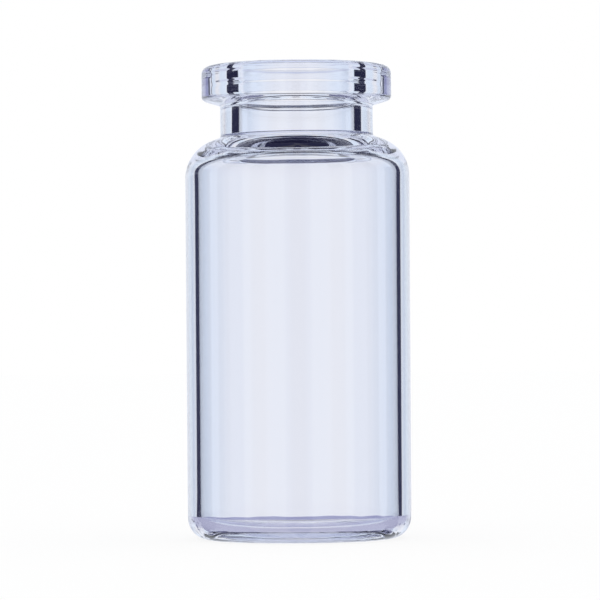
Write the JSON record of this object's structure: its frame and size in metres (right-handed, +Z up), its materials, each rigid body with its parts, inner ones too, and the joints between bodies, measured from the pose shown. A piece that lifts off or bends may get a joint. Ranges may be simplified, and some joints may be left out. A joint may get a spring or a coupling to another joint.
{
  "type": "glass sample vial",
  "caption": "Clear straight-sided glass vial with a rounded shoulder, short neck, wide rim for a crimped closure and an open mouth; holds a small liquid or powder sample.",
  "frame": {"origin": "middle of the ring that the vial stands on", "axes": "+Z up along the vial's axis, out of the mouth; X and Y are free, because the vial is round"},
  "size_m": [0.0234, 0.0234, 0.0495],
  "materials": {
    "clear_glass": "clear, fire polished"
  },
  "bodies": {
    "root": {"glass_vial": "clear_glass"}
  },
  "joints": []
}
